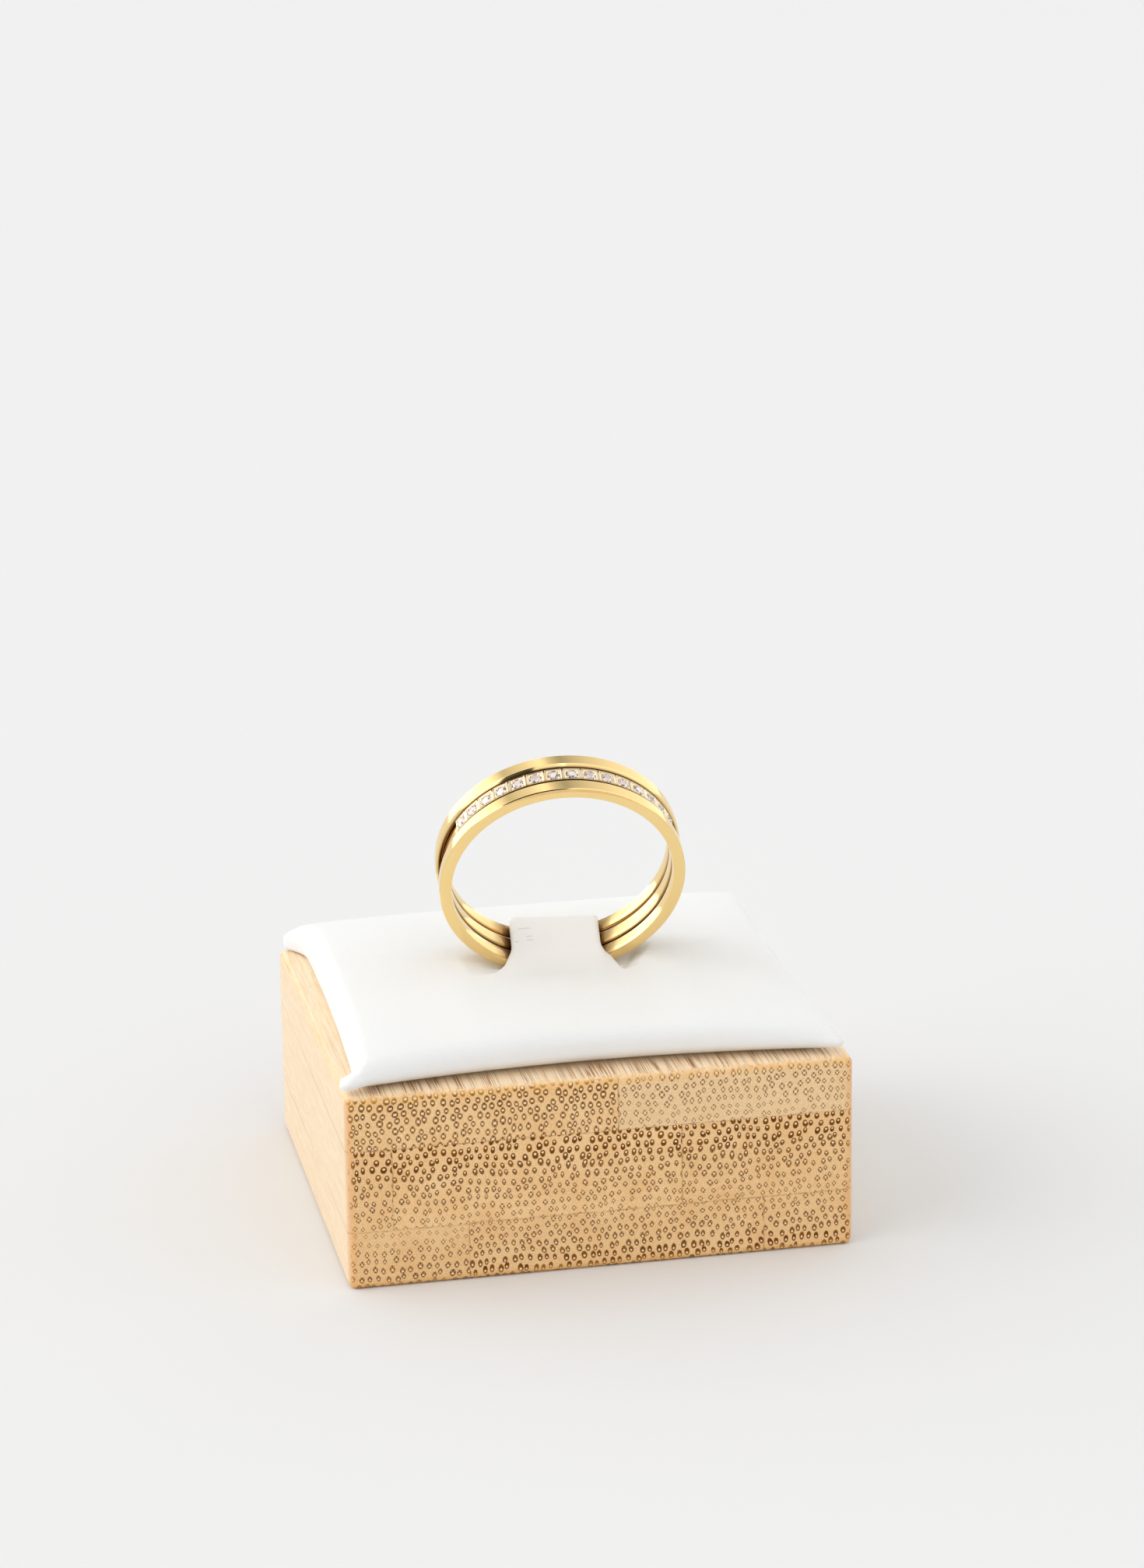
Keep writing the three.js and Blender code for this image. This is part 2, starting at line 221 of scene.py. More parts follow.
def head_relief(along, across):
    """Height of the head's outside: squares cut round the stones, their seats, grooves and beads."""
    last = (STONES - 1) / 2
    nearest = np.clip(np.round(along / PITCH), -last, last)
    u = np.abs(along - nearest * PITCH) * HEAD_RADIUS
    v = np.abs(across)
    square = np.maximum(u, v)
    step = np.clip((CUT_HALF - square) / 0.04, 0, 1)
    slope = np.clip((CUT_HALF - 0.02 - square) / 0.14, 0, 1)
    far = np.hypot(u, v)
    seat = -0.10 - 0.32 * np.clip((SEAT_RADIUS - far) / 0.2, 0, 1)
    height = np.where(far < SEAT_RADIUS, seat, -0.03 * step - 0.06 * slope)
    groove = np.clip(1 - np.abs(u - PITCH * HEAD_RADIUS / 2) / GROOVE_HALF, 0, 1)
    height = height - GROOVE_DEPTH * groove
    off_bead = np.hypot(u - BEAD_OFF, v - BEAD_OFF)
    dome = np.sqrt(np.clip(BEAD_RADIUS ** 2 - off_bead ** 2, 0, None)) - (off_bead > BEAD_RADIUS)
    return np.maximum(height, dome - BEAD_SUNK)


def stone_band():
    """The middle band: a worked head over the top, on a plain, thinner shank."""
    fine = np.linspace(-HEAD_HALF, HEAD_HALF, 661)
    shank = np.linspace(HEAD_HALF, 2 * math.pi - HEAD_HALF, 200)
    first, end = STONE_START, STONE_START + STONE_BAND
    top = np.linspace(first + 0.06, end - 0.06, 47)
    side = [(end - 0.02, -0.02), (end, -0.07), (end, -0.16)]
    rise = [(0, 0.15), (0.05, 0.09), (0.15, 0.05), (0.3, 0.02), (0.5, 0.004)]
    inner = ([(end - a, INNER + b) for a, b in rise] + [(STONE_LINE, INNER)]
             + [(first + a, INNER + b) for a, b in reversed(rise)])
    before = [(2 * STONE_LINE - a, h) for a, h in reversed(side)]
    across = np.array([a for a, h in before] + list(top) + [a for a, h in side])
    drop = np.array([h for a, h in before] + [0] * len(top) + [h for a, h in side])
    rows = []
    for angle, radius, worked in (
        [(a, HEAD_RADIUS, True) for a in fine] + [(a, SHANK_RADIUS, False) for a in shank]
    ):
        height = radius + drop * (1 if worked else 0.6)
        if worked:
            height = height + head_relief(np.full(len(across), angle), across - STONE_LINE) * (drop == 0)
        a = np.concatenate([across, [x for x, r in inner]])
        r = np.concatenate([height, [r for x, r in inner]])
        turned = angle + HEAD_TURN
        rows.append(np.stack([r * math.sin(turned), a, r * math.cos(turned)], -1))
    points = np.concatenate(rows)
    faces = loop_faces(len(rows), len(rows[0]))
    return piece("stone_band_gold", to_world(points), faces, ["stone_band"], sharp=28)


def brilliant():
    """Points and facets of a round brilliant, one across, with its girdle at height 0."""
    step = math.pi / 4
    crown, depth, thin = 0.15, 0.43, 0.02
    table, star, low = 0.28, 0.405, 0.13

    def ring(radius, height, turn=0.0, count=8):
        return [(radius * math.cos((k + turn) * step * 8 / count),
                 radius * math.sin((k + turn) * step * 8 / count), height) for k in range(count)]

    share = (0.5 - star * math.cos(step / 2)) / (0.5 - table)
    deep = (0.5 - low * math.cos(step / 2)) / 0.5
    points = (ring(table, crown) + ring(star, thin + (crown - thin) * share, 0.5)
              + ring(0.5, thin, 0, 16) + ring(0.5, -thin, 0, 16)
              + ring(low, -thin - depth * deep, 0.5) + [(0, 0, -thin - depth)])
    # Where each ring of points starts: table, star, girdle above and below, pavilion, and the culet.
    t, s, g, h, p, culet = 0, 8, 16, 32, 48, 56
    facets = [tuple(range(8))]
    for k in range(8):
        n = (k + 1) % 8
        facets += [(t + k, s + k, t + n), (t + k, s + (k - 1) % 8, g + 2 * k, s + k),
                   (s + k, g + 2 * k, g + 2 * k + 1), (s + k, g + 2 * k + 1, g + 2 * n),
                   (culet, p + k, h + 2 * k, p + (k - 1) % 8),
                   (p + k, h + 2 * k + 1, h + 2 * k), (p + k, h + 2 * n, h + 2 * k + 1)]
    facets += [(g + k, h + k, h + (k + 1) % 16, g + (k + 1) % 16) for k in range(16)]
    return np.array(points), facets


def stones():
    """The stones in their seats, each turned its own way, with a painted reflection of its own on every
    facet.
    """
    draw = random.Random(5)
    points, facets = brilliant()
    made = []
    for index in range(STONES):
        angle = HEAD_TURN + (index - (STONES - 1) / 2) * PITCH
        own = draw.uniform(0, math.pi / 4)
        spun = points @ np.array(Matrix.Rotation(own, 3, "Z")).T * STONE_SIZE
        out = HEAD_RADIUS - STONE_SUNK + spun[:, 2]
        x = out * math.sin(angle) + spun[:, 0] * math.cos(angle)
        z = out * math.cos(angle) - spun[:, 0] * math.sin(angle)
        placed = to_world(np.stack([x, STONE_LINE + spun[:, 1], z], -1))
        node = f"stone_{index + 1:02d}"
        stone = piece(node + "_cut", placed, facets, [node])
        # Each facet gets a random painted reflection, from dark to bright.
        glints = stone.data.attributes.new("facet_glint", "FLOAT", "FACE")
        for facet in range(len(facets)):
            glints.data[facet].value = draw.random()
        made.append(stone)
    return made


# Pad

def smooth_max(a, b, k):
    share = np.clip(0.5 + 0.5 * (a - b) / k, 0, 1)
    return b + (a - b) * share + k * share * (1 - share)


def smooth_min(a, b, k):
    return -smooth_max(-a, -b, k)


def slit_dip(x, y):
    """How far the pad's top sinks beside the tongue: steeply at a lip, and gently away from it."""
    dip = np.zeros_like(x)
    for corners, lips, deep, reach in SLITS:
        corners = np.array(corners)
        along = np.roll(corners, -1, 0) - corners
        along = along / np.linalg.norm(along, axis=1)[:, None]
        way = np.sign(along[0, 0] * along[2, 1] - along[0, 1] * along[2, 0])
        inside = [way * (a[0] * (y - c[1]) - a[1] * (x - c[0])) for a, c in zip(along, corners)]
        lip = np.clip(np.minimum.reduce(inside[:lips]) / 0.4, 0, 1)
        gentle = np.clip(np.minimum.reduce(inside[lips:-1]) / reach, 0, 1)
        dip += deep * lip ** 2 * (3 - 2 * lip) * gentle * np.clip(inside[-1] + 1.5, 0, 1)
    return dip


def pillow(x, y, z):
    """Below 0 inside the pad without its slot. Its height counts from the block's top."""
    u = np.clip(np.abs(x) / PAD_HALF[0], 0, 1)
    v = np.clip(np.abs(y) / PAD_HALF[1], 0, 1)
    left = 18.65 - 0.8 * (1 - ((y - 9) / 26) ** 2) + 0.9 * np.clip((y - 13.5) / 3.5, 0, 1) ** 2
    right = 18.9 - 0.9 * (1 - v ** 2)
    side = np.abs(x) - np.where(x < 0, left, right)
    end = np.abs(y) - (17.2 - np.where(y < 0, 1.8, 0.9) * (1 - u ** 2))
    outline = smooth_max(side, end, 0.5)
    thin = np.clip((2.0 - z) / 0.9, 0.15, 1)
    for cx, cy, pull, spread in PAD_CORNERS:
        outline = outline - pull * thin * np.exp(-((x - cx) ** 2 + (y - cy) ** 2) / (2 * spread ** 2))
    swell = np.sqrt((1 - u ** 3) * (1 - v ** 3))
    top = z - (PAD_RIM + PAD_SWELL * swell) + slit_dip(x, y)
    # The underside rises towards the edge, though hardly at the left side and the back left corner.
    tuck = np.clip((outline + PAD_FOOT) / PAD_FOOT, 0, 1) ** 2
    flat = (x < 0) * np.clip((side - end) / 3 - 0.1 + np.clip(y / 10, 0, 1), 0, 1)
    bottom = (PAD_LIFT - 0.8 * flat) * tuck + 0.02 - z
    return smooth_max(smooth_max(outline, top, 1.3), bottom, 0.4)


def tongue(x, y, z):
    """Below 0 inside the tongue's plate, in the ring's frame."""
    cos, sin = math.cos(TONGUE_TURN), math.sin(TONGUE_TURN)
    local = np.stack([x * cos + y * sin, -x * sin + y * cos, z])
    past = np.abs(local - TONGUE_MIDDLE[:, None]) - (TONGUE_HALF[:, None] - TONGUE_EDGE)
    return np.sqrt((np.maximum(past, 0) ** 2).sum(0)) + np.minimum(past.max(0), 0) - TONGUE_EDGE


def pad_field(points):
    """Below 0 inside the pad and its tongue. Points are in millimetres."""
    x, y, z = points.T
    body = pillow(x, y, z - BLOCK[2])
    x, y, z = to_ring(points).T
    radius = np.hypot(x, z)
    beside = np.abs(y - RING_WIDTH / 2) - RING_WIDTH / 2
    slot = smooth_max(radius - (OUTER + SLOT_GAP), beside - SLOT_GAP, 0.2)
    body = smooth_max(body, -slot, 0.5)
    whole = smooth_min(body, tongue(x, y, z), 1.3)
    band = np.abs(radius - (INNER + OUTER) / 2) - (OUTER - INNER) / 2
    clear = np.maximum(band, beside) - RING_GAP
    return smooth_max(whole, -clear, 0.15)


def skin(field, low, high, step):
    """A closed mesh where the field is 0, as quads."""
    axes = [np.arange(a, b + s, s) for a, b, s in zip(low, high, step)]
    shape = tuple(len(a) for a in axes)
    grid = np.stack(np.meshgrid(*axes, indexing="ij"), -1)
    values = field(grid.reshape(-1, 3)).reshape(shape)
    corners = [(i, j, k) for i in (0, 1) for j in (0, 1) for k in (0, 1)]

    def shifted(array, corner):
        return array[tuple(slice(c, n - 1 + c) for c, n in zip(corner, shape))]

    inside = values < 0
    total = sum(shifted(inside, c).astype(int) for c in corners)
    active = (total > 0) & (total < 8)
    cells = np.argwhere(active)
    index = np.full(active.shape, -1)
    index[active] = np.arange(len(cells))

    # One point in each cell that the surface crosses, at the mean of the crossings on its edges.
    sums = np.zeros((len(cells), 3))
    hits = np.zeros(len(cells))
    for one in corners:
        for axis in range(3):
            if one[axis]:
                continue
            other = tuple(c + (n == axis) for n, c in enumerate(one))
            a = shifted(values, one)[active]
            b = shifted(values, other)[active]
            crosses = (a < 0) != (b < 0)
            place = np.tile(np.array(one, float), (len(cells), 1))
            place[:, axis] += np.where(crosses, a / np.where(crosses, a - b, 1), 0)
            sums += place * crosses[:, None]
            hits += crosses
    points = np.array(low) + (cells + sums / hits[:, None]) * np.array(step)

    # One quad round each grid edge that the surface crosses.
    faces = []
    for axis in range(3):
        others = [n for n in range(3) if n != axis]
        lower = [slice(None)] * 3
        upper = [slice(None)] * 3
        lower[axis] = slice(0, shape[axis] - 1)
        upper[axis] = slice(1, shape[axis])
        changes = np.argwhere(inside[tuple(lower)] != inside[tuple(upper)])
        quad = []
        for du, dv in ((1, 1), (0, 1), (0, 0), (1, 0)):
            cell = changes.copy()
            cell[:, others[0]] -= du
            cell[:, others[1]] -= dv
            quad.append(index[tuple(cell.T)])
        faces.append(np.stack(quad, -1))
    return points, np.concatenate(faces)


def settle(points, field, rounds=3, near=0.02):
    """Moves points straight onto the surface."""
    for _ in range(rounds):
        value = field(points)
        slope = np.stack([
            (field(points + d) - field(points - d)) / (2 * near) for d in np.eye(3) * near
        ], -1)
        steep = np.maximum((slope ** 2).sum(-1), 0.2)
        move = np.clip(-value / steep, -0.1, 0.1)
        points = points + slope * move[:, None]
    return points


def pad():
    low = np.array([-20.2, -18.1, BLOCK[2] - 0.41])
    high = np.array([20.2, 18.1, 22.2])
    points, faces = skin(pad_field, low, high, (0.23, 0.23, 0.2))
    points = settle(points, pad_field)
    nodes = ["cushion_pad", "clip_tongue"]
    made = piece("pad_with_tongue", points, faces, nodes, sharp=60)
    return made


# Block

def block():
    """A box with round edges, in a grid that is closer at the edges."""
    half = BLOCK / 2
    core = half - BLOCK_RADIUS
    arc = BLOCK_RADIUS * np.tan(np.linspace(0, math.pi / 4, 6))[1:]
    lines = [np.concatenate([-(c + arc)[::-1], np.linspace(-c, c, 9), c + arc]) for c in core]
    points = []
    faces = []
    for axis in range(3):
        u, v = [n for n in range(3) if n != axis]
        rows, columns = len(lines[u]), len(lines[v])
        for way in (-1, 1):
            first = len(points)
            for a in lines[u]:
                for b in lines[v]:
                    at = np.zeros(3)
                    at[axis], at[u], at[v] = way * half[axis], a, b
                    inner = np.clip(at, -core, core)
                    out = at - inner
                    points.append(inner + out / np.linalg.norm(out) * BLOCK_RADIUS)
            for i in range(rows - 1):
                for j in range(columns - 1):
                    a = first + i * columns + j
                    faces.append((a, a + 1, a + columns + 1, a + columns))
    points = np.array(points) + [0, 0, half[2]]
    return piece("bamboo_body", points, faces, ["bamboo_block"], sharp=60)


# Materials

class Graph:
    """Short ways to add nodes to a material or to the world."""

    def __init__(self, tree):
        self.tree = tree

    def feed(self, socket, value):
        if isinstance(value, bpy.types.NodeSocket):
            self.tree.links.new(value, socket)
        else:
            socket.default_value = value

    def add(self, kind, inputs=None, **settings):
        node = self.tree.nodes.new(kind)
        for key, value in settings.items():
            setattr(node, key, value)
        for key, value in (inputs or {}).items():
            self.feed(node.inputs[key], value)
        return node

    def math(self, kind, a, b=0.0, c=0.0, clamp=False):
        inputs = {0: a, 1: b, 2: c}
        return self.add("ShaderNodeMath", inputs, operation=kind, use_clamp=clamp).outputs[0]

    def plus(self, total, *terms):
        for term in terms:
            total = self.math("ADD", total, term)
        return total

    def times(self, product, *factors):
        for factor in factors:
            product = self.math("MULTIPLY", product, factor)
        return product

    def scaled(self, value, factor, base):
        return self.math("MULTIPLY_ADD", value, factor, base)

    def rest(self, value):
        """What is missing to 1."""
        return self.math("SUBTRACT", 1.0, value)

    def off(self, value, middle):
        """How far a value is from a middle, either way."""
        return self.math("ABSOLUTE", self.math("SUBTRACT", value, middle))

    def past(self, value, limit):
        """1 above a limit and 0 below it."""
        return self.math("GREATER_THAN", value, limit)

    def range(self, value, low, high, to_low=0.0, to_high=1.0):
        return self.add("ShaderNodeMapRange", {
            "Value": value, "From Min": low, "From Max": high, "To Min": to_low, "To Max": to_high,
        }).outputs["Result"]

    def vector(self, kind, a, b=(0.0, 0.0, 0.0), scale=1.0):
        node = self.add("ShaderNodeVectorMath", {0: a, 1: b}, operation=kind)
        if kind == "SCALE":
            node.inputs["Scale"].default_value = scale
        return node.outputs["Value" if kind in ("LENGTH", "DOT_PRODUCT") else "Vector"]

    def split(self, value):
        return self.add("ShaderNodeSeparateXYZ", {0: value}).outputs

    def join(self, a, b):
        return self.add("ShaderNodeCombineXYZ", {0: a, 1: b}).outputs[0]

    def ramp(self, value, stops):
        node = self.add("ShaderNodeValToRGB", {"Fac": value})
        keys = node.color_ramp.elements
        while len(keys) < len(stops):
            keys.new(0.5)
        for key, (position, colour) in zip(keys, stops):
            key.position = position
            key.color = (*colour, 1)
        return node.outputs["Color"]

    def mix(self, share, a, b):
        node = self.add("ShaderNodeMix", data_type="RGBA")
        for key, value in (("Factor_Float", share), ("A_Color", a), ("B_Color", b)):
            socket = next(s for s in node.inputs if s.identifier == key)
            self.feed(socket, (*value, 1) if isinstance(value, tuple) else value)
        return next(s for s in node.outputs if s.identifier == "Result_Color")

    def coats(self, colour, *coats):
        """A colour with others laid over it in turn, each by its share."""
        for share, coat in coats:
            colour = self.mix(share, colour, coat)
        return colour


class Surface(Graph):
    """A material with its shader, and the place on the object in millimetres."""

    def __init__(self, name):
        self.material = bpy.data.materials.new(name)
        self.material.use_nodes = True
        super().__init__(self.material.node_tree)
        self.shader = self.tree.nodes["Principled BSDF"]
        place = self.add("ShaderNodeTexCoord").outputs["Object"]
        self.place = self.vector("SCALE", place, scale=1 / MM)

    def in_ring(self):
        """The place in the ring's frame: across, along the ring's axis, and up."""
        away = self.vector("SUBTRACT", self.place, tuple(RING_CENTRE))
        return [self.vector("DOT_PRODUCT", away, tuple(RING_AXES[:, n])) for n in range(3)]

    def noise(self, scale, detail, rough=0.5, stretch=None):
        at = self.vector("MULTIPLY", self.place, stretch) if stretch else self.place
        return self.add("ShaderNodeTexNoise", {
            "Vector": at, "Scale": scale, "Detail": detail, "Roughness": rough,
        }).outputs["Fac"]

    def bump(self, height, distance, strength):
        inputs = {"Height": height, "Distance": distance * MM, "Strength": strength}
        self.feed(self.shader.inputs["Normal"], self.add("ShaderNodeBump", inputs).outputs["Normal"])

    def set(self, **values):
        for key, value in values.items():
            self.feed(self.shader.inputs[key.replace("_", " ")], value)


def gold():
    """Polished gold, with painted shade down in the seams between the bands, on the sunk shank, in the
    bore along the seams and low in the bore beside the tongue.
    """
    g = Surface("yellow_gold")
    across, along, up = g.in_ring()
    radius = g.vector("LENGTH", g.join(across, up))
    bore = g.range(radius, INNER + 0.2, INNER + 0.1)
    off_stones = g.off(along, STONE_LINE)
    seams = g.math("MAXIMUM", *[
        g.range(g.off(along, middle), 0.34, 0.08)
        for middle in (STONE_START - GAP / 2, REAR_START - GAP / 2)
    ])
    # Painted shade in the bore along the seams between the bands.
    inner_seam_shade = g.times(g.math("MINIMUM", g.times(seams, 1.6), 1.0), bore)
    # Below the outside and above the bore. Where this meets the seams, the walls facing across the gaps
    # get painted shade.
    deep = g.times(g.range(radius, OUTER - 0.08, OUTER - 0.2),
                   g.range(radius, INNER + 0.005, INNER + 0.06))
    # Painted shade on the shank, sunk below the plain bands on either side of it.
    shank = g.times(g.range(g.off(radius, SHANK_RADIUS), 0.12, 0.06), g.range(off_stones, 0.75, 0.68))
    cut = g.times(g.range(off_stones, 0.62, 0.56),
                  g.range(radius, SHANK_RADIUS + 0.04, SHANK_RADIUS + 0.1))
    # Painted shade low inside the ring, beside the tongue in the pad's slot.
    foot = g.times(g.range(g.off(across, TONGUE_MIDDLE[0]), 4.9, 3.8), bore, g.range(up, -4.0, -5.0))
    colour = g.coats(
        g.mix(g.noise(0.35, 3), (0.94, 0.68, 0.29), (0.95, 0.72, 0.34)),
        (g.times(cut, 0.75), (0.97, 0.89, 0.71)),
        (g.times(inner_seam_shade, 0.2), (0.55, 0.27, 0.06)),
        (g.times(seams, deep, 0.88), (0.2, 0.08, 0.02)),
        (g.times(shank, 0.45), (0.5, 0.24, 0.06)),
        (g.times(foot, 0.85), (0.22, 0.085, 0.015)),
    )
    marks = g.noise(9.0, 4, 0.6, stretch=(1.0, 3.0, 1.0))
    g.set(Base_Color=colour, Metallic=1.0, Roughness=g.range(marks, 0.3, 0.75, 0.06, 0.12))
    g.bump(marks, 0.004, 0.25)
    return g.material


def clear_stone():
    """Clear facets, each darker or lighter by a painted reflection of its own."""
    g = Surface("clear_stone")
    tone = g.add("ShaderNodeAttribute", attribute_name="facet_glint").outputs["Fac"]
    # The painted reflections run from near-black brown to near white.
    colour = g.ramp(tone, [
        (0.0, (0.05, 0.03, 0.02)), (0.2, (0.22, 0.14, 0.12)), (0.32, (0.62, 0.47, 0.44)),
        (0.6, (0.92, 0.79, 0.76)), (1.0, (1.0, 0.95, 0.93)),
    ])
    g.set(Base_Color=colour, Roughness=0.02, IOR=2.3, Transmission_Weight=0.15, Coat_Weight=0.0)
    return g.material


def leatherette():
    """A smooth white cover with a fine grain, with painted light on the tongue, and creases there with
    painted shade in them.
    """
    g = Surface("white_leatherette")
    across, along, up = g.in_ring()
    grain = g.add(
        "ShaderNodeTexVoronoi", {"Vector": g.place, "Scale": 3.2}, feature="DISTANCE_TO_EDGE",
    ).outputs[0]
    fine = g.noise(12.0, 3, 0.6)
    # Painted light on the tongue, whiter than the rest of the cover.
    tongue_light = g.times(g.range(g.math("ABSOLUTE", across), 4.6, 3.5), g.range(along, -3.5, -0.5),
                        g.range(up, -9.5, -7.8))
    wavy = g.plus(along, g.scaled(g.noise(2.0, 2), 0.16, -0.08))
    creases = 0.0
    for at, place, half in CREASES:
        crease = g.times(g.range(g.off(wavy, place), 0.08, 0.03),
                         g.range(g.off(across, at), half + 0.08, half - 0.08))
        creases = g.math("MAXIMUM", creases, crease)
    creases = g.times(creases, g.range(up, -7.5, -7.3))
    colour = g.coats(
        g.mix(g.noise(0.15, 2), (0.81, 0.81, 0.795), (0.84, 0.84, 0.83)),
        (tongue_light, (0.91, 0.905, 0.89)),
        # Painted shade in the creases; the same creases are bumped in below.
        (g.times(creases, 0.4), (0.45, 0.42, 0.38)),
    )
    g.set(Base_Color=colour, Roughness=g.range(fine, 0.3, 0.7, 0.42, 0.55), Specular_IOR_Level=0.35)
    g.bump(g.plus(g.range(grain, 0.0, 0.12), g.times(fine, 0.4), g.times(creases, -4.0)), 0.02, 0.3)
    return g.material


def bundles(g, x, z, strip, dense, layers):
    """Fibre bundles cut across: how dark it is there, the pale holes in them and a tone for each."""
    top, middle, low = layers
    sway = g.split(g.add("ShaderNodeTexNoise", {
        "Vector": g.vector("MULTIPLY", g.place, (0.25, 0.07, 0.25)), "Scale": 1.0, "Detail": 1.0,
    }).outputs["Color"])
    across = g.scaled(sway[0], 0.9, x)
    height = g.scaled(sway[1], 0.9, z)

    # Staggered rows, as places inside a cell.
    wide, tall = BUNDLE_STEP
    row = g.scaled(height, 1 / tall, g.times(strip, 3.37))
    column = g.plus(g.times(across, 1 / wide), g.times(row, 0.5), g.times(strip, 5.71))
    cells = g.join(column, row)
    nearest = g.add("ShaderNodeTexVoronoi", {"Vector": cells, "Scale": 1.0, "Randomness": 0.42},
                    voronoi_dimensions="2D")
    du, dv, _ = g.split(g.vector("SUBTRACT", cells, nearest.outputs["Position"]))
    dz = g.times(dv, tall)
    dx = g.times(g.scaled(dv, -0.5, du), wide)
    own = g.split(nearest.outputs["Color"])
    full = g.math("MINIMUM", dense, 1.0)
    loose = g.math("SUBTRACT", 1.0, full, clamp=True)
    grown = g.scaled(own[0], 0.3, 0.85)
    narrow = g.times(g.rest(top), full)

    def size(base, by_full, by_narrow):
        return g.scaled(narrow, by_narrow, g.scaled(full, by_full, base))

    def oval(half_wide, half_tall, up=0.0):
        """A vector from an oval's middle, 1 long on the oval's edge."""
        a = g.math("DIVIDE", dx, g.times(half_wide, grown))
        b = g.math("DIVIDE", g.math("SUBTRACT", dz, up), g.times(half_tall, grown))
        return g.join(a, b)

    body = oval(size(0.17, 0.055, -0.025), size(0.2, 0.14, -0.04))
    raised = g.times(g.math("SUBTRACT", middle, low), full, 0.08)
    hole = g.vector("LENGTH", oval(size(0.07, 0.055, -0.045), size(0.08, 0.015, -0.01), raised))
    wx, wz, _ = g.split(g.vector("NORMALIZE", body))
    gaps = g.times(wx, wx, wz, wz, 4.0, g.math("POWER", loose, 0.7))
    lobes = g.math("SUBTRACT", 1.0, gaps, clamp=True)
    dark = g.times(g.range(g.vector("LENGTH", body), 1.05, 0.85), g.range(hole, 0.9, 1.2), lobes)
    return dark, g.range(hole, 1.0, 0.7), own[2]


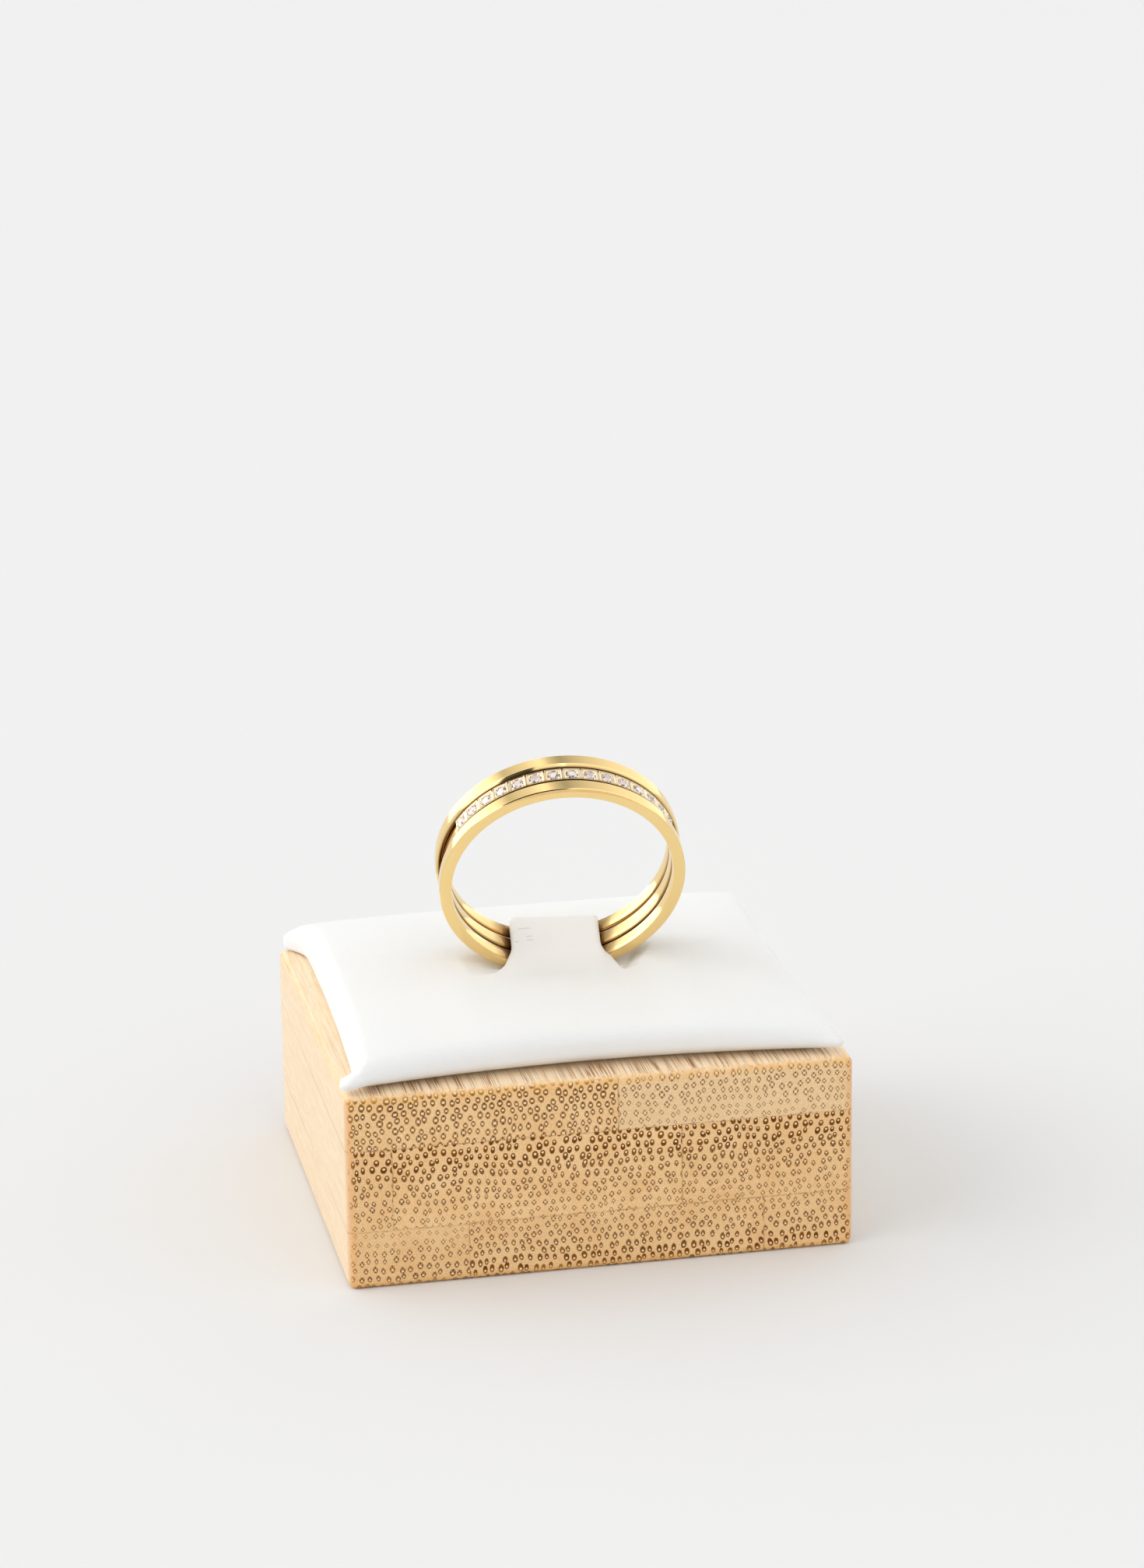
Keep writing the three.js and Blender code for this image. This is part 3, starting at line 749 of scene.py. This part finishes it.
def bamboo():
    """Strips glued into a block, with the fibre bundles running from front to back."""
    g = Surface("laminated_bamboo")
    x, y, z = g.split(g.place)

    # Three layers: each with its own strips, and its own way of getting denser.
    upper, lower = GLUE_HEIGHTS
    top = g.past(z, upper)
    low = g.rest(g.past(z, lower))
    middle = g.rest(g.plus(top, low))
    layers = (top, middle, low)
    right = g.past(x, STRIP_ENDS[0][0])
    far_left = g.rest(g.past(x, STRIP_ENDS[2][0]))
    strip = g.plus(*[
        g.times(layer, g.plus(number, *[g.past(x, at) for at in ends]))
        for layer, ends, number in zip(layers, STRIP_ENDS, (1.0, 3.0, 6.0))
    ])
    dense = g.plus(
        g.times(top, g.scaled(right, -0.5, g.range(z, upper, BLOCK[2], 0.62, 1.0))),
        g.times(middle, g.range(z, lower, upper, 0.2, 1.3)),
        g.times(low, g.scaled(far_left, -0.35, g.range(z, 0.0, lower, 1.25, 0.3))),
    )
    dark, pale, tone = bundles(g, x, z, strip, dense, layers)

    # The end grain.
    cloud = g.noise(0.35, 3, 0.55)
    grit = g.noise(5.0, 3, 0.6, stretch=(1.0, 0.08, 1.0))
    speck = g.noise(8.0, 2, 0.7)
    patchy = g.noise(0.8, 2, stretch=(2.2, 0.12, 2.2))
    coarse = g.range(grit, 0.3, 0.7)
    own_tone = g.add("ShaderNodeTexWhiteNoise", {"W": strip}, noise_dimensions="1D").outputs["Value"]
    grain = g.coats(
        g.mix(g.range(cloud, 0.3, 0.7), (0.87, 0.53, 0.235), (0.96, 0.66, 0.34)),
        (g.times(top, right, 0.6), (0.97, 0.76, 0.48)),
        (g.range(own_tone, 0.0, 1.0, 0.0, 0.25), (0.72, 0.44, 0.2)),
        (g.range(grit, 0.35, 0.75, 0.0, 0.35), (0.6, 0.36, 0.17)),
        (g.range(speck, 0.35, 0.6, 0.22, 0.0), (0.5, 0.3, 0.14)),
        (g.range(speck, 0.5, 0.7, 0.0, 0.3), (0.98, 0.82, 0.58)),
        (g.times(pale, g.range(dense, 0.0, 0.6, 0.25, 0.7)), (0.95, 0.76, 0.48)),
        (g.times(dark, g.range(dense, 0.0, 0.4, 0.75, 1.0)),
         g.mix(tone, (0.13, 0.036, 0.002), (0.23, 0.08, 0.006))),
    )

    # The sides and the top, where the fibres lie along the surface.
    fibre = g.noise(2.4, 1, stretch=(1.0, 0.012, 1.0))
    thread = g.math("MAXIMUM", *[g.range(g.off(fibre, at), 0.035, 0.008) for at in (0.54, 0.44)])
    thread = g.times(thread, g.range(patchy, 0.3, 0.5, 0.25, 1.0))
    # On the top, the threads are darkest a little behind the block's front edge, and weaker at that edge
    # and further back.
    front_threads = g.times(thread, g.range(y, -17.4, -16.4, 0.35, 0.8), g.range(y, -15.2, -14.0, 1.0, 0.25))
    sides = g.mix(coarse, (0.79, 0.65, 0.48), (0.73, 0.57, 0.38))
    sides = g.mix(g.times(thread, 0.14), sides, (0.6, 0.33, 0.13))
    lids = g.mix(coarse, (0.95, 0.80, 0.60), (0.90, 0.67, 0.42))
    lids = g.mix(front_threads, lids, (0.28, 0.09, 0.015))

    # Glue lines, and edges browned by the saw.
    shake = g.times(g.math("SUBTRACT", cloud, 0.5), 0.25)

    def glue(value, at):
        return g.range(g.off(g.plus(value, shake), at), GLUE_HALF, GLUE_HALF + 0.05, 1.0, 0.0)

    seams = g.math("MAXIMUM", glue(z, upper), glue(z, lower))
    for layer, ends in zip(layers, STRIP_ENDS):
        for at in ends:
            seams = g.math("MAXIMUM", seams, g.times(layer, glue(x, at)))
    half = BLOCK / 2
    near_x, near_y, near_z = [
        g.range(g.off(value, centre), reach - 0.75, reach - 0.1)
        for value, centre, reach in zip((x, y, z), (0.0, 0.0, half[2]), half)
    ]
    worn = g.math("MAXIMUM", g.times(near_x, near_z, 0.5), g.times(near_y, near_z))
    colour = g.coats(
        grain,
        (g.range(g.math("ABSOLUTE", x), half[0] - 0.35, half[0] - 0.1), sides),
        (g.range(z, BLOCK[2] - 0.28, BLOCK[2] - 0.08), lids),
        (g.times(seams, g.range(patchy, 0.4, 0.62, 0.1, 0.45)), (0.25, 0.11, 0.04)),
        (g.times(worn, g.range(g.noise(1.8, 2), 0.35, 0.6, 0.25, 0.7)), (0.84, 0.45, 0.11)),
        (g.times(near_x, near_y, 0.5), (0.78, 0.34, 0.09)),
    )
    g.set(Base_Color=colour, Roughness=g.range(grit, 0.3, 0.7, 0.42, 0.6), Specular_IOR_Level=0.1)
    g.bump(grit, 0.01, 0.3)
    return g.material


# Lights, floor and camera

def area(name, place, size, power):
    """A rectangular light that looks at the object's foot."""
    light = bpy.data.lights.new(name, "AREA")
    light.shape = "RECTANGLE"
    light.size, light.size_y = size
    light.energy = power
    made = bpy.data.objects.new(name, light)
    made.location = place
    made.rotation_mode = "QUATERNION"
    made.rotation_quaternion = (Vector((0, 0, 0.02)) - Vector(place)).to_track_quat("-Z", "Y")
    bpy.context.collection.objects.link(made)


def surroundings():
    """What lights the object from all round and shows in the gold."""
    world = bpy.data.worlds.new("studio")
    bpy.context.scene.world = world
    world.use_nodes = True
    g = Graph(world.node_tree)
    way = g.add("ShaderNodeTexCoord").outputs["Generated"]
    x, y, z = g.split(way)

    def greys(value, low, high, stops):
        stops = [((at - low) / (high - low), (grey, grey, grey)) for at, grey in stops]
        return g.ramp(g.range(value, low, high), stops)

    # From the left over the top to the right, in degrees: a window, a ceiling with two beams, a wall.
    round_ring = g.times(g.math("ARCTAN2", x, z), 180 / math.pi)
    over = greys(round_ring, -180, 180, [
        (-180, 0.6), (-100, 0.65), (-83, 0.75), (-60, 0.75), (-50, 0.55), (-40, 0.4), (-32, 0.2),
        (-26, 0.245), (-16, 0.3), (-6, 0.41), (1, 0.22), (8, 0.135), (15, 0.19), (25, 0.25),
        (43, 0.32), (60, 0.36), (82, 0.42), (180, 0.4),
    ])
    front = greys(x, -1, 1, [(-1, 0.65), (-0.7, 0.62), (-0.4, 0.36), (0, 0.33), (0.5, 0.34), (1, 0.42)])
    behind = greys(y, -1, 1, [(-0.1, 0), (0.15, 1)])
    mixed = g.add("ShaderNodeMix", {"Factor": behind, "A": front, "B": over}).outputs["Result"]

    # A dark spot in front and above, as a camera shows in polished gold.
    spot = g.vector("DOT_PRODUCT", way, Vector((-0.33, -0.82, 0.46)).normalized())
    shade = greys(spot, -1, 1, [(0.90, 1.0), (0.925, 0.06)])
    back = g.tree.nodes["Background"]
    g.feed(back.inputs["Color"], g.times(mixed, shade))
    g.feed(back.inputs["Strength"], 3.2)


def floor():
    mesh = bpy.data.meshes.new("floor")
    mesh.from_pydata([(-3, -3, 0), (3, -3, 0), (3, 6, 0), (-3, 6, 0)], [], [(0, 1, 2, 3)])
    made = bpy.data.objects.new("floor", mesh)
    bpy.context.collection.objects.link(made)
    g = Surface("pale_floor")
    g.set(Base_Color=(0.765, 0.765, 0.763, 1), Roughness=0.8, Specular_IOR_Level=0.1)
    mesh.materials.append(g.material)


def camera():
    """The camera at the photo's angle: where it looks, from how far and from which side."""
    aim = Vector((1.512, 0, 33.375))
    distance = 364.506
    azimuth, elevation, roll = (math.radians(a) for a in (-11.238, 17.44, -0.795))
    data = bpy.data.cameras.new("camera")
    data.lens = 107.249
    data.sensor_width = 36
    data.clip_start = 0.01
    data.clip_end = 20
    made = bpy.data.objects.new("camera", data)
    bpy.context.collection.objects.link(made)
    back = Vector((math.sin(azimuth) * math.cos(elevation), -math.cos(azimuth) * math.cos(elevation),
                   math.sin(elevation)))
    right = (-back).cross(Vector((0, 0, 1))).normalized()
    up = right.cross(-back)
    tilted = math.cos(roll) * right + math.sin(roll) * up
    upright = -math.sin(roll) * right + math.cos(roll) * up
    turn = Matrix((tilted, upright, back)).transposed().to_4x4()
    made.matrix_world = Matrix.Translation((aim + back * distance) * MM) @ turn
    bpy.context.scene.camera = made


yellow_gold = gold()
for made in (plain_band("front_band_gold", 0.0, PLAIN, "front_band"),
             plain_band("rear_band_gold", RING_WIDTH, REAR_START, "rear_band"),
             stone_band()):
    made.data.materials.append(yellow_gold)
stone_material = clear_stone()
for made in stones():
    made.data.materials.append(stone_material)
pad().data.materials.append(leatherette())
block().data.materials.append(bamboo())
surroundings()
area("left_softbox", (-2.1, 0.4, 1.5), (1.5, 1.3), 3.5)
area("front_softbox", (-0.3, -2.2, 2.0), (1.2, 1.0), 4.0)
floor()
camera()
bpy.context.scene.view_settings.view_transform = "Standard"
